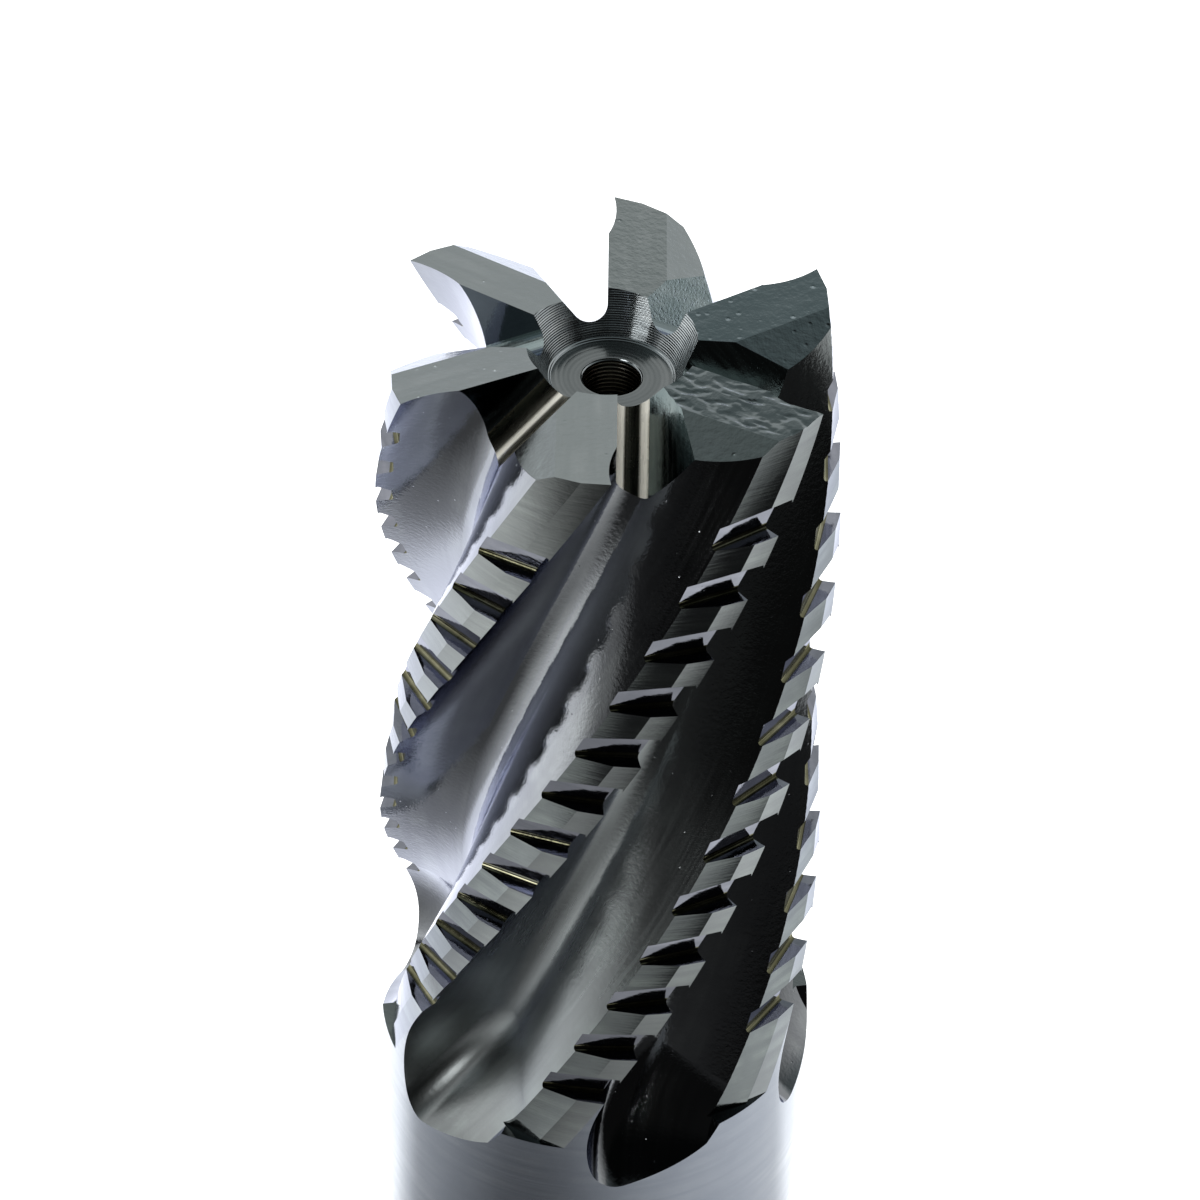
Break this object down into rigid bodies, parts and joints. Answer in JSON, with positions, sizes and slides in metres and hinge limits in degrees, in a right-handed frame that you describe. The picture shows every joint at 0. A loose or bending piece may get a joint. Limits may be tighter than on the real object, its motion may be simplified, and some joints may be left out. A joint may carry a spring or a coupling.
{
  "type": "roughing end mill",
  "caption": "Roughing end mill with a plain cylindrical shank, right-hand helical flutes, notched cutting edges and a turned recess in the cutting end.",
  "frame": {"origin": "centre of the shank's end face, which the tool stands on", "axes": "+Z along the tool's axis to the cutting end, +Y through the tip of one tooth"},
  "size_m": [0.032, 0.032, 0.133],
  "materials": {
    "tool_steel": "ground and coated, dark grey, glossy"
  },
  "bodies": {
    "root": {"end_mill": "tool_steel"}
  },
  "joints": []
}
